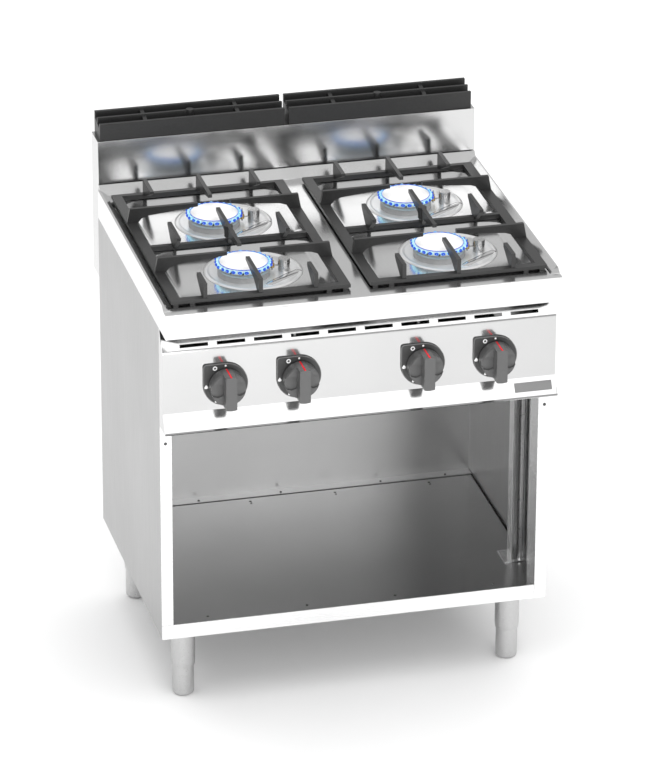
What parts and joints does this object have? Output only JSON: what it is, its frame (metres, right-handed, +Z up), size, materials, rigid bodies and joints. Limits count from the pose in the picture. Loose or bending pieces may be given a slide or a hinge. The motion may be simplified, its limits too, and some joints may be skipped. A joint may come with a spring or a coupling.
{
  "type": "gas range",
  "caption": "Free-standing gas range with open cabinet, cast pan supports, burners in pressed wells, push-and-turn knobs and a raised flue.",
  "frame": {"origin": "middle of the whole box in plan, on the floor under the feet", "axes": "+X to the right seen from the front, +Y to the back, +Z up"},
  "size_m": [0.8, 0.72, 1.058],
  "materials": {
    "stainless": "satin stainless, fine vertical brushing",
    "inner_steel": "brushed stainless, inner faces",
    "plate_steel": "brushed plate, blank",
    "flue_iron": "matt black enamelled casting",
    "grate_iron": "dark grey enamelled casting",
    "pipe_steel": "plain drawn tube",
    "burner_alloy": "turned alloy, slightly dull",
    "pilot_steel": "bright small turned parts with brass nuts",
    "valve_brass": "plain brass",
    "dial_plastic": "satin dark grey dial plate, white marks",
    "knob_plastic": "satin grey moulded plastic, red line",
    "leg_steel": "satin stainless tube"
  },
  "bodies": {
    "root": {"hob_top": "stainless", "side_panel_left": "stainless", "side_panel_right": "stainless", "base_rail": "stainless", "front_post_left": "stainless", "front_post_right": "stainless", "control_panel": "stainless", "flue_box": "stainless", "back_panel": "inner_steel", "cabinet_floor": "inner_steel", "base_frame": "inner_steel", "burner_box_floor": "inner_steel", "riser_channel": "inner_steel", "badge_plate": "plate_steel", "gas_manifold": "pipe_steel", "gas_riser": "pipe_steel", "burner_base_left_rear": "burner_alloy", "pilot_left_rear": "pilot_steel", "burner_base_left_front": "burner_alloy", "pilot_left_front": "pilot_steel", "burner_base_right_front": "burner_alloy", "pilot_right_front": "pilot_steel", "burner_base_right_rear": "burner_alloy", "pilot_right_rear": "pilot_steel", "gas_valve_1": "valve_brass", "feed_pipe_1": "pipe_steel", "bezel_1": "dial_plastic", "gas_valve_2": "valve_brass", "feed_pipe_2": "pipe_steel", "bezel_2": "dial_plastic", "gas_valve_3": "valve_brass", "feed_pipe_3": "pipe_steel", "bezel_3": "dial_plastic", "gas_valve_4": "valve_brass", "feed_pipe_4": "pipe_steel", "bezel_4": "dial_plastic", "leg_sleeve_front_left": "leg_steel", "leg_sleeve_front_right": "leg_steel", "leg_sleeve_back_left": "leg_steel", "leg_sleeve_back_right": "leg_steel"},
    "pan_support_left": {"pan_support_left": "grate_iron"},
    "pan_support_right": {"pan_support_right": "grate_iron"},
    "flue_grille_left": {"flue_grille_left": "flue_iron"},
    "flue_grille_right": {"flue_grille_right": "flue_iron"},
    "burner_cap_left_rear": {"burner_cap_left_rear": "burner_alloy"},
    "burner_cap_left_front": {"burner_cap_left_front": "burner_alloy"},
    "burner_cap_right_front": {"burner_cap_right_front": "burner_alloy"},
    "burner_cap_right_rear": {"burner_cap_right_rear": "burner_alloy"},
    "foot_front_left": {"foot_front_left": "leg_steel"},
    "foot_front_right": {"foot_front_right": "leg_steel"},
    "foot_back_left": {"foot_back_left": "leg_steel"},
    "foot_back_right": {"foot_back_right": "leg_steel"},
    "valve_stem_1": {"valve_stem_1": "pipe_steel"},
    "valve_stem_2": {"valve_stem_2": "pipe_steel"},
    "valve_stem_3": {"valve_stem_3": "pipe_steel"},
    "valve_stem_4": {"valve_stem_4": "pipe_steel"},
    "knob_1": {"knob_1": "knob_plastic"},
    "knob_2": {"knob_2": "knob_plastic"},
    "knob_3": {"knob_3": "knob_plastic"},
    "knob_4": {"knob_4": "knob_plastic"}
  },
  "joints": [
    {"name": "pan_support_left_lift", "type": "slide", "parent": "root", "child": "pan_support_left", "axis": [0, 0, 1], "range_m": [0, 0.12]},
    {"name": "flue_grille_left_lift", "type": "slide", "parent": "root", "child": "flue_grille_left", "axis": [0, 0, 1], "range_m": [0, 0.06]},
    {"name": "pan_support_right_lift", "type": "slide", "parent": "root", "child": "pan_support_right", "axis": [0, 0, 1], "range_m": [0, 0.12]},
    {"name": "flue_grille_right_lift", "type": "slide", "parent": "root", "child": "flue_grille_right", "axis": [0, 0, 1], "range_m": [0, 0.06]},
    {"name": "burner_cap_left_rear_lift", "type": "slide", "parent": "root", "child": "burner_cap_left_rear", "axis": [0, 0, 1], "range_m": [0, 0.01]},
    {"name": "burner_cap_left_front_lift", "type": "slide", "parent": "root", "child": "burner_cap_left_front", "axis": [0, 0, 1], "range_m": [0, 0.01]},
    {"name": "burner_cap_right_front_lift", "type": "slide", "parent": "root", "child": "burner_cap_right_front", "axis": [0, 0, 1], "range_m": [0, 0.01]},
    {"name": "burner_cap_right_rear_lift", "type": "slide", "parent": "root", "child": "burner_cap_right_rear", "axis": [0, 0, 1], "range_m": [0, 0.01]},
    {"name": "knob_1_push", "type": "slide", "parent": "root", "child": "valve_stem_1", "axis": [0, 1, 0], "range_m": [0, 0.004], "stiffness_N_per_m": 1500, "springref_m": -0.004},
    {"name": "knob_1_turn", "type": "hinge", "parent": "valve_stem_1", "child": "knob_1", "pos_m": [-0.274, -0.34, 0.728], "axis": [0, -1, 0], "range_deg": [0, 150]},
    {"name": "knob_2_push", "type": "slide", "parent": "root", "child": "valve_stem_2", "axis": [0, 1, 0], "range_m": [0, 0.004], "stiffness_N_per_m": 1500, "springref_m": -0.004},
    {"name": "knob_2_turn", "type": "hinge", "parent": "valve_stem_2", "child": "knob_2", "pos_m": [-0.126, -0.34, 0.728], "axis": [0, -1, 0], "range_deg": [0, 150]},
    {"name": "knob_3_push", "type": "slide", "parent": "root", "child": "valve_stem_3", "axis": [0, 1, 0], "range_m": [0, 0.004], "stiffness_N_per_m": 1500, "springref_m": -0.004},
    {"name": "knob_3_turn", "type": "hinge", "parent": "valve_stem_3", "child": "knob_3", "pos_m": [0.126, -0.34, 0.728], "axis": [0, -1, 0], "range_deg": [0, 150]},
    {"name": "knob_4_push", "type": "slide", "parent": "root", "child": "valve_stem_4", "axis": [0, 1, 0], "range_m": [0, 0.004], "stiffness_N_per_m": 1500, "springref_m": -0.004},
    {"name": "knob_4_turn", "type": "hinge", "parent": "valve_stem_4", "child": "knob_4", "pos_m": [0.274, -0.34, 0.728], "axis": [0, -1, 0], "range_deg": [0, 150]},
    {"name": "foot_front_left_height", "type": "slide", "parent": "root", "child": "foot_front_left", "axis": [0, 0, -1], "range_m": [0, 0.03]},
    {"name": "foot_front_right_height", "type": "slide", "parent": "root", "child": "foot_front_right", "axis": [0, 0, -1], "range_m": [0, 0.03]},
    {"name": "foot_back_left_height", "type": "slide", "parent": "root", "child": "foot_back_left", "axis": [0, 0, -1], "range_m": [0, 0.03]},
    {"name": "foot_back_right_height", "type": "slide", "parent": "root", "child": "foot_back_right", "axis": [0, 0, -1], "range_m": [0, 0.03]}
  ]
}
